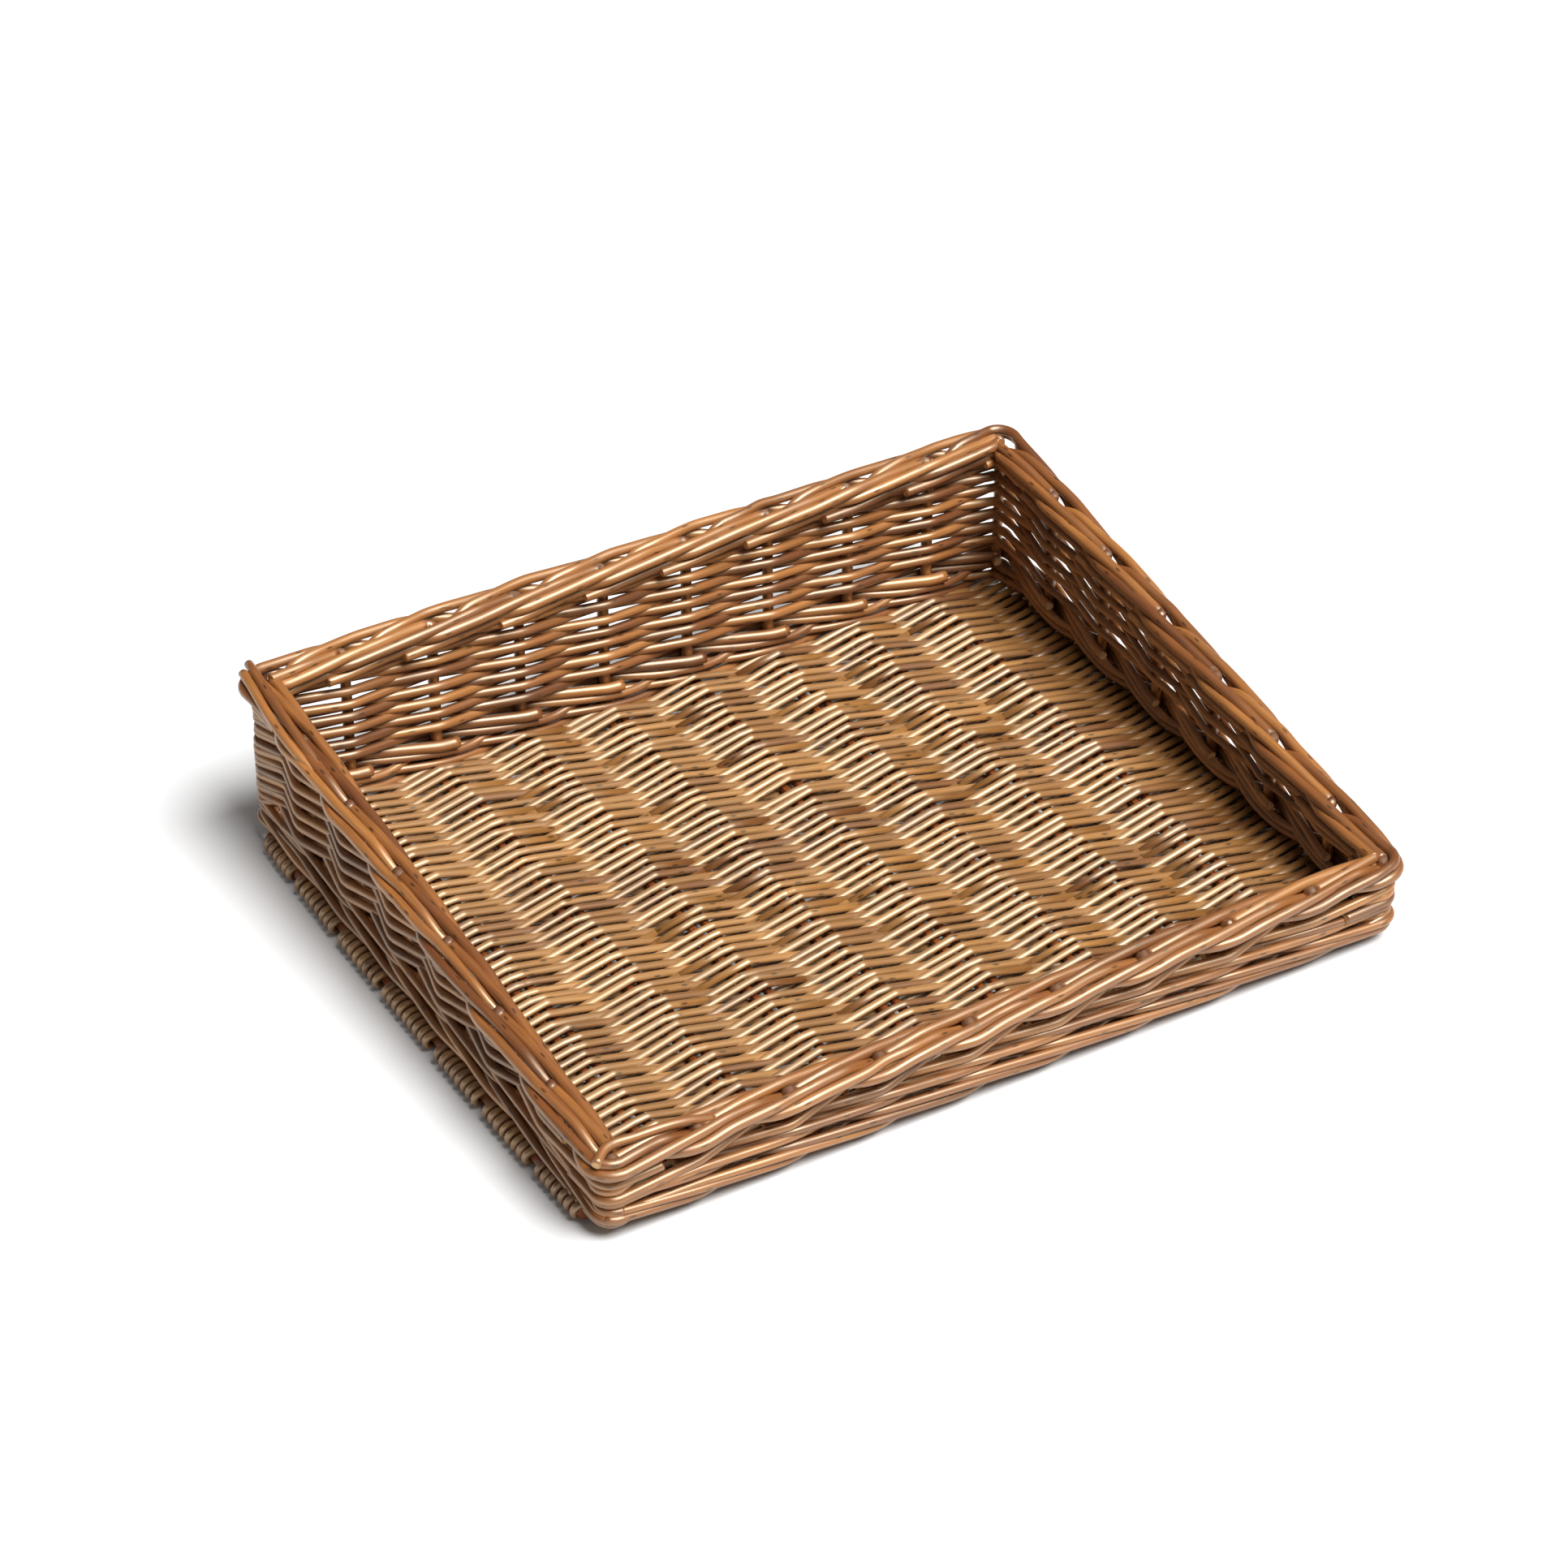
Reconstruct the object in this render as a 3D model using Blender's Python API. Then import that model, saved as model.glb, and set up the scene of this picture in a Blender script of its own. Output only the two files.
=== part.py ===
"""A sloping willow tray basket, woven from round rods.

The base is woven over pairs of sticks that run front to back between two stout edge sticks.
Upright stakes stand all round it, those of the sides just inside the edge sticks. A wale
grips their feet, rows of weaving fill the four walls, and the stakes then bend over and are
worked down into the border.
X runs along the long front, Y to the high back, Z up. The origin is the middle of the floor.
"""

import math

import bpy
from mathutils import Matrix, Vector

# Plan of the basket, in metres
STICK_SPACING = 0.055  # along the front and the back, also between their stakes
LAST_STICK_TO_SIDE = 0.051  # also from the last stake of the front and back to the corner
SIDE_SPACING = 0.0568  # between the stakes of a side wall
SIDE_STAKE_TO_CORNER = 0.055
STICK_PAIRS = 8
SIDE_STAKES = 6

# Heights above the floor
BACK_RIM_HEIGHT = 0.113
FRONT_RIM_HEIGHT = 0.0555

# Rods
SLACK = 0.0003  # between any two rods that touch on the real basket
STAKE_DIAMETER = 0.0056
STAKE_FOOT_DIAMETER = 0.0028  # the foot is cut thin, to be pushed in
STAKE_FOOT_LENGTH = 0.009
STICK_DIAMETER = 0.0054
STICK_PAIR_SPACING = 0.0088
STICK_OVERHANG = 0.002  # past the stakes that stand between a pair
EDGE_STICK_DIAMETER = 0.009
BASE_WEAVER_WIDTH = 0.0064
BASE_WEAVER_THICKNESS = 0.0032
BASE_ROWS_BETWEEN_SIDE_STAKES = 8
WALL_WEAVER_HEIGHT = 0.0044
WALL_WEAVER_THICKNESS = 0.0042
WALL_ROW_GAP = 0.0005
WALE_ROD = 0.0048
WALE_FOOT_HEIGHT = 0.004  # floor to the underside of the lowest wale rod

# Border
RIM_CORNER_RADIUS = 0.008
# How a stake runs once it has bent over: stakes passed, then how far out and how far up
# it lies there, as shares of the distance between two rods that touch.
BORDER_PATH_SHARES = (
    (0.5, -0.60, 0.15),
    (1.0, -1.14, -0.06),
    (1.5, -1.40, -0.69),
    (2.0, -1.07, -1.18),
    (2.5, 0.00, -1.21),
    (3.0, 1.07, -1.17),
    (3.5, 1.40, -0.67),
    (4.0, 1.17, -0.04),
    (4.4, 0.66, 0.14),
    (4.88, 0.08, -0.20),
)
KINK_SHARE = 0.45  # of a stake's diameter, from each leg of its bend to the corner

FLOOR_CUT = 0.0005  # how deep the rods that stand on the floor are flattened
OVERRUN = 0.01  # how far a cutter reaches past what it cuts
ROUND_SIDES = 16

WILLOW_GOLD = (0.56, 0.30, 0.10)
WILLOW_TAN = (0.44, 0.20, 0.065)
WILLOW_BROWN = (0.30, 0.12, 0.04)

# Worked out from the sizes above
TURN_ANGLES = [math.radians(a) for a in (90, 45, 0, -45, -90)]
TURN_CHORD = math.cos(math.radians(22.5))  # a turn of 45 degree chords dips this far inside
LAST_POST = STICK_PAIRS + 1
WALL_WIDTH = (STICK_PAIRS - 1) * STICK_SPACING + 2 * LAST_STICK_TO_SIDE
WALL_SPAN = (SIDE_STAKES - 1) * SIDE_SPACING + 2 * SIDE_STAKE_TO_CORNER
WALL_X = WALL_WIDTH / 2
WALL_Y = WALL_SPAN / 2
EDGE_STICK_X = WALL_X + STAKE_FOOT_DIAMETER / 2 + SLACK + EDGE_STICK_DIAMETER / 2
STICK_XS = [(n - (STICK_PAIRS - 1) / 2) * STICK_SPACING for n in range(STICK_PAIRS)]
BASE_PITCH = SIDE_SPACING / BASE_ROWS_BETWEEN_SIDE_STAKES
BASE_SPACE = WALL_SPAN - STAKE_DIAMETER - 2 * (SLACK + WALE_ROD + SLACK)
ROWS_THAT_FIT = int((BASE_SPACE - BASE_WEAVER_WIDTH) / BASE_PITCH) + 1
BASE_ROWS = 2 * (ROWS_THAT_FIT // 2)
BASE_LENGTH = (BASE_ROWS - 1) * BASE_PITCH + BASE_WEAVER_WIDTH
SIDE_YS = [(n - (SIDE_STAKES - 1) / 2) * SIDE_SPACING for n in range(SIDE_STAKES)]
# Half a row forward or back, so that the side stakes stand between two turns of the base
SIDE_STAKE_SHIFT = BASE_PITCH / 2 if BASE_ROWS % 4 else -BASE_PITCH / 2

EDGE_TURN = (EDGE_STICK_DIAMETER / 2 + SLACK + BASE_WEAVER_THICKNESS / 2) / TURN_CHORD
BASE_HALF_HEIGHT = EDGE_TURN + BASE_WEAVER_THICKNESS / 2
BASE_MIDDLE = BASE_HALF_HEIGHT - FLOOR_CUT
BASE_TOP = BASE_MIDDLE + BASE_HALF_HEIGHT

POST_INSET = RIM_CORNER_RADIUS * (1 - math.sqrt(0.5))
ROD_STEP = STAKE_DIAMETER + SLACK
BORDER_RISE = max(up for _, _, up in BORDER_PATH_SHARES) * ROD_STEP + STAKE_DIAMETER / 2
WALL_PITCH = WALL_WEAVER_HEIGHT + WALL_ROW_GAP
WALE_PITCH = WALE_ROD + SLACK

# Levels of the wale's rods, at their middles. In the front and the back its lowest rod lies
# in front of the sticks' ends and the next ones pass over them. At the sides the wale lies
# on the edge stick with its wrapping.
FOOT_WALE_LEVEL = WALE_FOOT_HEIGHT + WALE_ROD / 2
OVER_STICKS_LEVEL = BASE_MIDDLE + STICK_DIAMETER / 2 + SLACK + WALE_ROD / 2
LONG_WALE_LEVELS = [FOOT_WALE_LEVEL, OVER_STICKS_LEVEL, OVER_STICKS_LEVEL + WALE_PITCH]
SIDE_WALE_LEVELS = [BASE_TOP + SLACK + WALE_ROD / 2 + row * WALE_PITCH for row in range(2)]


def remove_everything():
    for thing in list(bpy.data.objects):
        bpy.data.objects.remove(thing, do_unlink=True)
    for old in list(bpy.data.collections):
        bpy.data.collections.remove(old)


def new_collection(name):
    made = bpy.data.collections.new(name)
    bpy.context.scene.collection.children.link(made)
    return made


def willow(name, colour, roughness):
    material = bpy.data.materials.new(name)
    material.use_nodes = True
    shader = material.node_tree.nodes["Principled BSDF"]
    shader.inputs["Base Color"].default_value = (*colour, 1)
    shader.inputs["Roughness"].default_value = roughness
    shader.inputs["Metallic"].default_value = 0
    material.diffuse_color = (*colour, 1)
    return material


def rod_section(name, width, height, helpers):
    """A flat outline that a weaver is drawn along: width lies across it, height along its up."""
    data = bpy.data.curves.new(name, "CURVE")
    data.dimensions = "2D"
    spline = data.splines.new("POLY")
    spline.points.add(3)
    for point, (x, y) in zip(spline.points, ((1, 1), (1, -1), (-1, -1), (-1, 1))):
        point.co = (x * width / 2, y * height / 2, 0, 1)
    spline.use_cyclic_u = True
    section = bpy.data.objects.new(name, data)
    section.hide_render = True
    section.display_type = "WIRE"
    helpers.objects.link(section)
    return section


def path_curve(name, points, radii=None):
    data = bpy.data.curves.new(name, "CURVE")
    data.dimensions = "3D"
    data.twist_mode = "Z_UP"
    data.use_fill_caps = True
    spline = data.splines.new("POLY")
    spline.points.add(len(points) - 1)
    for number, (point, place) in enumerate(zip(spline.points, points)):
        point.co = (*place, 1)
        if radii:
            point.radius = radii[number]
    return data


def add_object(name, data, material, parts, matrix=None):
    thing = bpy.data.objects.new(name, data)
    data.materials.append(material)
    parts.objects.link(thing)
    if matrix is not None:
        thing.matrix_world = matrix
    return thing


def as_mesh(thing, parts):
    """The same object as a closed mesh, which a Boolean can cut."""
    bpy.context.view_layer.update()
    evaluated = thing.evaluated_get(bpy.context.evaluated_depsgraph_get())
    mesh = bpy.data.meshes.new_from_object(evaluated)
    name, matrix = thing.name, thing.matrix_world.copy()
    bpy.data.objects.remove(thing, do_unlink=True)
    weld(mesh)
    made = bpy.data.objects.new(name, mesh)
    parts.objects.link(made)
    made.matrix_world = matrix
    return made


def weld(mesh):
    import bmesh

    editable = bmesh.new()
    editable.from_mesh(mesh)
    bmesh.ops.remove_doubles(editable, verts=editable.verts, dist=SLACK / 100)
    bmesh.ops.recalc_face_normals(editable, faces=editable.faces)
    editable.to_mesh(mesh)
    editable.free()


def subtract(thing, cutter):
    cut = thing.modifiers.new("cut by " + cutter.name, "BOOLEAN")
    cut.operation = "DIFFERENCE"
    cut.object = cutter


def as_helper(thing, helpers):
    thing.hide_render = True
    thing.display_type = "WIRE"
    for holder in list(thing.users_collection):
        holder.objects.unlink(thing)
    helpers.objects.link(thing)
    return thing


def add_rod(name, diameter, start, end, material, parts, sides=ROUND_SIDES):
    """A straight round rod between two points."""
    start, end = Vector(start), Vector(end)
    bpy.ops.mesh.primitive_cylinder_add(vertices=sides, radius=diameter / 2, depth=(end - start).length)
    rod = bpy.context.object
    rod.name = rod.data.name = name
    turn = (end - start).to_track_quat("Z", "Y").to_matrix().to_4x4()
    rod.matrix_world = Matrix.Translation((start + end) / 2) @ turn
    for holder in list(rod.users_collection):
        holder.objects.unlink(rod)
    parts.objects.link(rod)
    rod.data.shade_smooth()
    rod.data.set_sharp_from_angle(angle=math.radians(50))
    rod.data.materials.append(material)
    return rod


# Weaving: one rod that runs to and fro between upright posts. A post is its place along the
# wall, its set-off out of the wall's plane, and how far the rod stands off it in passing.


def passing_reach(stand_off, half_pair, run, far_reach):
    """Where a straight run that ends far_reach off the next post still clears this one."""
    slope = (stand_off + far_reach) / (run - 2 * half_pair)
    return stand_off * math.hypot(1, slope) + slope * half_pair


def turn_points(post, heading, side, radius, level, next_level):
    """Half a turn round a post, in chords, rising to the next row."""
    along, out, _ = post
    points = []
    for step, angle in enumerate(TURN_ANGLES):
        rise = (next_level - level) * step / (len(TURN_ANGLES) - 1)
        reach = heading * radius * math.cos(angle)
        points.append((along + reach, out + side * radius * math.sin(angle), level + rise))
    return points


def weaver_path(posts, rows, side_of, radius):
    """Points of a rod that weaves the rows one after another. A row is its level, the post
    where the even rows start and the post where they end."""
    points = []
    for row, (level, near, far) in enumerate(rows):
        step = 1 if far > near else -1
        order = list(range(near, far + step, step))
        if row % 2:
            order.reverse()
            step = -step
        for post in order[:-1] if row == 0 else order[1:-1]:
            along, out, reach = posts[post]
            points.append((along, out + side_of(row, post) * reach, level))
        end = order[-1]
        if row + 1 < len(rows):
            next_level = rows[row + 1][0]
            points += turn_points(posts[end], step, side_of(row, end), radius, level, next_level)
        else:
            along, out, reach = posts[end]
            points.append((along, out + side_of(row, end) * radius, level))
    return points


def plain_side(row, post):
    return 1 if (row + post) % 2 == 0 else -1


def long_wale_side(row, post):
    """The lowest rod stays outside. Each one above goes outside two stakes and inside one."""
    if row == 0:
        return 1
    return -1 if post % 3 == row - 1 else 1


def side_wale_side(row, post):
    return -1 if post % 3 == (1, 0)[row] else 1


def make_base_weave(material, parts, helpers):
    """Flat bands, each as wide as two rods side by side, woven over and under the sticks and
    turned round the edge sticks. The weave lies on its side: its rows climb along -Y."""
    stand_off = STICK_DIAMETER / 2 + SLACK + BASE_WEAVER_THICKNESS / 2
    run = EDGE_STICK_X - STICK_XS[-1]
    reach = passing_reach(stand_off, STICK_PAIR_SPACING / 2, run, EDGE_TURN)
    pairs = [(x, 0, reach) for x in STICK_XS]
    posts = [(-EDGE_STICK_X, 0, EDGE_TURN)] + pairs + [(EDGE_STICK_X, 0, EDGE_TURN)]
    rows = [((row - (BASE_ROWS - 1) / 2) * BASE_PITCH, 0, LAST_POST) for row in range(BASE_ROWS)]
    data = path_curve("base_weave", weaver_path(posts, rows, plain_side, EDGE_TURN))
    data.bevel_mode = "OBJECT"
    data.bevel_object = rod_section("base weaver section", BASE_WEAVER_THICKNESS, BASE_WEAVER_WIDTH, helpers)
    lay_flat = Matrix.Translation((0, 0, BASE_MIDDLE)) @ Matrix.Rotation(math.radians(90), 4, "X")
    weave = as_mesh(add_object("base_weave", data, material, parts, lay_flat), parts)
    bpy.ops.mesh.primitive_cube_add(size=1)
    ground = as_helper(bpy.context.object, helpers)
    ground.name = "ground cutter"
    ground.location = (0, 0, -OVERRUN / 2)
    ground.scale = (2 * (EDGE_STICK_X + EDGE_TURN + OVERRUN), BASE_LENGTH + 2 * OVERRUN, OVERRUN)
    subtract(weave, ground)


def wall_frame(quarter_turns, distance):
    """A wall's own frame: X along it, Y outward, Z up. No turns is the back wall."""
    turn = Matrix.Rotation(math.radians(90) * quarter_turns, 4, "Z")
    return turn @ Matrix.Translation((0, distance, 0))


def make_weaver(name, posts, rows, side_of, section, turn, material, parts, frame):
    data = path_curve(name, weaver_path(posts, rows, side_of, turn))
    data.bevel_mode = "OBJECT"
    data.bevel_object = section
    add_object(name, data, material, parts, frame)


def post_turn(thickness):
    return (STAKE_DIAMETER / 2 + SLACK + thickness / 2) / TURN_CHORD


def long_wall_posts(thickness):
    stand_off = STAKE_DIAMETER / 2 + SLACK + thickness / 2
    turn = post_turn(thickness)
    run = WALL_X - POST_INSET - STICK_XS[-1]
    reach = passing_reach(stand_off, 0, run, turn + POST_INSET)
    end = WALL_X - POST_INSET
    stakes = [(x, 0, reach) for x in STICK_XS]
    return [(-end, -POST_INSET, turn)] + stakes + [(end, -POST_INSET, turn)]


def side_wall_posts(thickness):
    """The side rows turn back just short of the rods that wrap the corner posts."""
    wrap = post_turn(WALE_ROD) + WALE_ROD / 2
    end = WALL_Y - POST_INSET - wrap - SLACK - wrap
    stand_off = STAKE_DIAMETER / 2 + SLACK + thickness / 2
    turn = post_turn(thickness)
    run = end - SIDE_YS[-1] - BASE_PITCH / 2
    reach = passing_reach(stand_off, 0, run, turn)
    stakes = [(y - SIDE_STAKE_SHIFT, 0, reach) for y in SIDE_YS]
    return [(-end, 0, turn)] + stakes + [(end, 0, turn)]


def rim_middle_height(y):
    """Height of a bent-over stake's middle, on the sloping line from the front to the back."""
    share = (y + WALL_Y) / WALL_SPAN
    return FRONT_RIM_HEIGHT + (BACK_RIM_HEIGHT - FRONT_RIM_HEIGHT) * share - BORDER_RISE


def highest_row_level(y):
    lowest_border_rod = min(up for _, _, up in BORDER_PATH_SHARES) * ROD_STEP - STAKE_DIAMETER / 2
    return rim_middle_height(y) + lowest_border_rod - SLACK - WALL_WEAVER_HEIGHT / 2


def levels_between(first, last):
    count = int((last - first) / WALL_PITCH) + 1
    return [first + row * WALL_PITCH for row in range(count)]


def side_rows(posts, front_is_first):
    """Rows of a side wall. Every row starts at the back, and the higher ones turn back at the
    last stake where the sloping border leaves them room, so they shorten in pairs."""
    first = SIDE_WALE_LEVELS[-1] + WALE_ROD / 2 + SLACK + WALL_WEAVER_HEIGHT / 2
    back = len(posts) - 1 if front_is_first else 0
    toward_back = 1 if front_is_first else -1
    rows = []
    levels = levels_between(first, highest_row_level(posts[-1][0]))
    for low, high in zip(levels[::2], levels[1::2]):
        front = len(posts) - 1 - back
        while highest_row_level(posts[front][0] * toward_back) < high:
            front += toward_back
        if front != back:
            rows += [(low, back, front), (high, back, front)]
    return rows


def make_walls(wale_material, weave_material, parts, helpers):
    wale_section = rod_section("wale rod section", WALE_ROD, WALE_ROD, helpers)
    weaver_section = rod_section("wall weaver section", WALL_WEAVER_THICKNESS, WALL_WEAVER_HEIGHT, helpers)
    wale_turn, weaver_turn = post_turn(WALE_ROD), post_turn(WALL_WEAVER_THICKNESS)
    first = LONG_WALE_LEVELS[-1] + WALE_ROD / 2 + SLACK + WALL_WEAVER_HEIGHT / 2
    for side, quarter_turns, y in (("back", 0, WALL_Y), ("front", 2, -WALL_Y)):
        frame = wall_frame(quarter_turns, WALL_Y)
        rows = [(level, 0, LAST_POST) for level in LONG_WALE_LEVELS]
        posts = long_wall_posts(WALE_ROD)
        name = "wale_" + side
        make_weaver(name, posts, rows, long_wale_side, wale_section, wale_turn, wale_material, parts, frame)
        rows = [(level, 0, LAST_POST) for level in levels_between(first, highest_row_level(y))]
        posts = long_wall_posts(WALL_WEAVER_THICKNESS)
        name = "weave_" + side
        make_weaver(name, posts, rows, plain_side, weaver_section, weaver_turn, weave_material, parts, frame)
    for side, quarter_turns, front_is_first in (("left", 1, True), ("right", 3, False)):
        frame = wall_frame(quarter_turns, WALL_X)
        posts = side_wall_posts(WALE_ROD)
        rows = [(level, 0, len(posts) - 1) for level in SIDE_WALE_LEVELS]
        name = "wale_" + side
        make_weaver(name, posts, rows, side_wale_side, wale_section, wale_turn, wale_material, parts, frame)
        posts = side_wall_posts(WALL_WEAVER_THICKNESS)
        rows = side_rows(posts, front_is_first)
        name = "weave_" + side
        make_weaver(name, posts, rows, plain_side, weaver_section, weaver_turn, weave_material, parts, frame)


def direction(angle):
    return Vector((math.cos(angle), math.sin(angle), 0))


HALF_ARC = RIM_CORNER_RADIUS * math.pi / 4
STRAIGHTS = [2 * (half - RIM_CORNER_RADIUS) for half in (WALL_X, WALL_Y, WALL_X, WALL_Y)]
RIM_LENGTH = sum(STRAIGHTS) + 8 * HALF_ARC


def rim_place(distance):
    """The point on the rim's middle line, and the outward direction there. The line starts at
    the middle of the front left corner and runs along the front to the right."""
    distance %= RIM_LENGTH
    signs = ((-1, -1), (1, -1), (1, 1), (-1, 1), (-1, -1))
    centres = [Vector((sx * (WALL_X - RIM_CORNER_RADIUS), sy * (WALL_Y - RIM_CORNER_RADIUS), 0)) for sx, sy in signs]
    for wall, straight in enumerate(STRAIGHTS):
        heading = math.radians(90) * wall
        if distance < HALF_ARC:
            outward = direction(heading - math.radians(135) + distance / RIM_CORNER_RADIUS)
            return centres[wall] + RIM_CORNER_RADIUS * outward, outward
        distance -= HALF_ARC
        if distance < straight:
            outward = direction(heading - math.radians(90))
            return centres[wall] + RIM_CORNER_RADIUS * outward + distance * direction(heading), outward
        distance -= straight
        if distance < HALF_ARC:
            outward = direction(heading - math.radians(90) + distance / RIM_CORNER_RADIUS)
            return centres[wall + 1] + RIM_CORNER_RADIUS * outward, outward
        distance -= HALF_ARC
    return rim_place(0)


def stations():
    """Every stake and corner post as (name, distance along the rim), in the order of weaving."""
    found = []
    start = 0
    walls = (
        ("front", STICK_XS, 0, "corner_post_front_left"),
        ("right", SIDE_YS, SIDE_STAKE_SHIFT, "corner_post_front_right"),
        ("back", STICK_XS, 0, "corner_post_back_right"),
        ("left", SIDE_YS, SIDE_STAKE_SHIFT, "corner_post_back_left"),
    )
    for (wall, places, shift, corner), straight in zip(walls, STRAIGHTS):
        found.append((corner, start))
        for number, place in enumerate(places):
            middle = start + HALF_ARC + straight / 2
            found.append((f"stake_{wall}_{number + 1}", middle + place + shift))
        start += straight + 2 * HALF_ARC
    return found


def border_point(distance, across, up):
    place, outward = rim_place(distance)
    lifted = Vector((0, 0, rim_middle_height(place.y) + up))
    return place + outward * across + lifted


def border_run(station_distances, first):
    """Points of the border part of the stake at one station, after its bend."""
    count = len(station_distances)

    def distance_at(passed):
        whole = int(passed)
        before, after = first + whole, first + whole + 1
        low = station_distances[before % count] + RIM_LENGTH * (before // count)
        high = station_distances[after % count] + RIM_LENGTH * (after // count)
        return low + (high - low) * (passed - whole)

    points = []
    previous = (0, 0, 0)
    for passed, across, up in BORDER_PATH_SHARES:
        at_corner = passed == int(passed) and (first + int(passed)) % count in CORNERS
        if at_corner and across > 0:
            before = share_between(previous, (passed, across, up), distance_at, -HALF_ARC)
            after = share_between((passed, across, up), next_of(passed), distance_at, HALF_ARC)
            for spot, out, high in (before, (distance_at(passed), across, up), after):
                points.append(border_point(spot, out * ROD_STEP, high * ROD_STEP))
        else:
            points.append(border_point(distance_at(passed), across * ROD_STEP, up * ROD_STEP))
        previous = (passed, across, up)
    return points


def next_of(passed):
    steps = [row[0] for row in BORDER_PATH_SHARES]
    return BORDER_PATH_SHARES[steps.index(passed) + 1]


def share_between(start, end, distance_at, shift):
    """The place a little before the end or a little after the start, on the line between them."""
    low, high = distance_at(start[0]), distance_at(end[0])
    spot = (high if shift < 0 else low) + shift
    share = (spot - low) / (high - low)
    return spot, start[1] + (end[1] - start[1]) * share, start[2] + (end[2] - start[2]) * share


CORNERS = (0, STICK_PAIRS + 1, STICK_PAIRS + SIDE_STAKES + 2, 2 * STICK_PAIRS + SIDE_STAKES + 3)


def make_stakes(material, parts):
    """Each stake is one rod: a thin foot, an upright, a sharp bend and its run in the border."""
    places = stations()
    distances = [distance for _, distance in places]
    kink = KINK_SHARE * STAKE_DIAMETER
    thin = STAKE_FOOT_DIAMETER / STAKE_DIAMETER
    for number, (name, distance) in enumerate(places):
        spot, _ = rim_place(distance)
        top = border_point(distance, 0, 0)
        foot = BASE_MIDDLE - STICK_DIAMETER / 2
        if name.startswith(("stake_left", "stake_right")):
            shoulder = BASE_MIDDLE + EDGE_STICK_DIAMETER / 2 + SLACK
        else:
            shoulder = foot + STAKE_FOOT_LENGTH
        bend = border_point(distance + kink, 0, 0)
        points = [
            Vector((spot.x, spot.y, foot)),
            Vector((spot.x, spot.y, shoulder)),
            Vector((spot.x, spot.y, shoulder + STAKE_DIAMETER / 2)),
            Vector((spot.x, spot.y, top.z - kink)),
            bend,
        ]
        points += border_run(distances, number)
        radii = [thin, thin] + [1] * (len(points) - 2)
        data = path_curve(name, points, radii)
        data.twist_mode = "MINIMUM"
        data.bevel_depth = STAKE_DIAMETER / 2
        data.bevel_resolution = 1
        add_object(name, data, material, parts)


def make_base_sticks(material, parts):
    half_length = WALL_Y + STICK_OVERHANG
    number = 0
    for middle in STICK_XS:
        for side in (-1, 1):
            number += 1
            x = middle + side * STICK_PAIR_SPACING / 2
            ends = [(x, y, BASE_MIDDLE) for y in (-half_length, half_length)]
            add_rod(f"base_stick_{number:02d}", STICK_DIAMETER, *ends, material, parts, sides=8)
    for side, name in ((-1, "edge_stick_left"), (1, "edge_stick_right")):
        ends = [(side * EDGE_STICK_X, y, BASE_MIDDLE) for y in (-BASE_LENGTH / 2, BASE_LENGTH / 2)]
        add_rod(name, EDGE_STICK_DIAMETER, *ends, material, parts)


def main():
    remove_everything()
    parts = new_collection("willow tray basket")
    helpers = new_collection("cutters and guides")
    gold = willow("pale willow of the base", WILLOW_GOLD, 0.35)
    tan = willow("tan willow of the walls", WILLOW_TAN, 0.4)
    brown = willow("brown willow of the sticks and wale", WILLOW_BROWN, 0.45)
    make_base_sticks(brown, parts)
    make_base_weave(gold, parts, helpers)
    make_stakes(tan, parts)
    make_walls(brown, tan, parts, helpers)


main()
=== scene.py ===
# %% [markdown]
# # A willow tray basket, rod by rod
#
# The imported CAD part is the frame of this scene. It holds the basket's real sizes, but its
# weaving is simplified: half the rows, and level rods in the walls. Here each visible rod is
# drawn as the basket maker would lay it, and then gets a willow surface.
#
# Blender's unit here is the metre, so a millimetre gets a name. Willow is never quite even, so
# small random numbers, the same ones in every run, move and thicken the rods a little.

import math

import bpy
import numpy as np
from mathutils import Matrix, Vector


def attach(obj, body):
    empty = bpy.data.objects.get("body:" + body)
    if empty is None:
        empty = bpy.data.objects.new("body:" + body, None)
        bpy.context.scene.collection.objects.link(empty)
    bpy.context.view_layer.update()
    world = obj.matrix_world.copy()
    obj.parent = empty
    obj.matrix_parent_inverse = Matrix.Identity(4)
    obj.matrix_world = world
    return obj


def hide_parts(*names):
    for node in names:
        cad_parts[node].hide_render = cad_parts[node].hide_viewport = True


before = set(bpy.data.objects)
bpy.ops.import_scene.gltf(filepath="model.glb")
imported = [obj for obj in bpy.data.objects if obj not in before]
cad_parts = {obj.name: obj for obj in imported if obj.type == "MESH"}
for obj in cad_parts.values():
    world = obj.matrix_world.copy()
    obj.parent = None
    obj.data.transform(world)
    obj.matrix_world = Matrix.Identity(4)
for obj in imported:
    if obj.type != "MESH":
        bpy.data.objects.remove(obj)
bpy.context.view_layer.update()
MM = 0.001
chance = np.random.default_rng(20)

# %% [markdown]
# ## The plan of the basket
#
# A basket is set out from its uprights. Seen from above they stand on a rectangle with tight
# corners, and every rod of the walls and the border follows that line, a little inside it or
# outside it. So a place in a wall is written as three numbers: how far round the rim it is,
# how far outside the line of stakes, and how high.

# %% Sizes of the plan
STICK_PAIRS, SIDE_STAKES = 8, 6
STAKE_SPACING = 55 * MM
SIDE_SPACING = 56.8 * MM
SIDE_STAKE_SHIFT = -3.55 * MM  # towards the corner where that side's weaving starts
WALL_X = 243.5 * MM
WALL_Y = 197 * MM
CORNER_RADIUS = 4 * MM
BACK_RIM = 113 * MM
FRONT_RIM = 55.5 * MM
STICK_LEVEL = 8.03 * MM  # middle of the sticks, above the table

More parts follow.
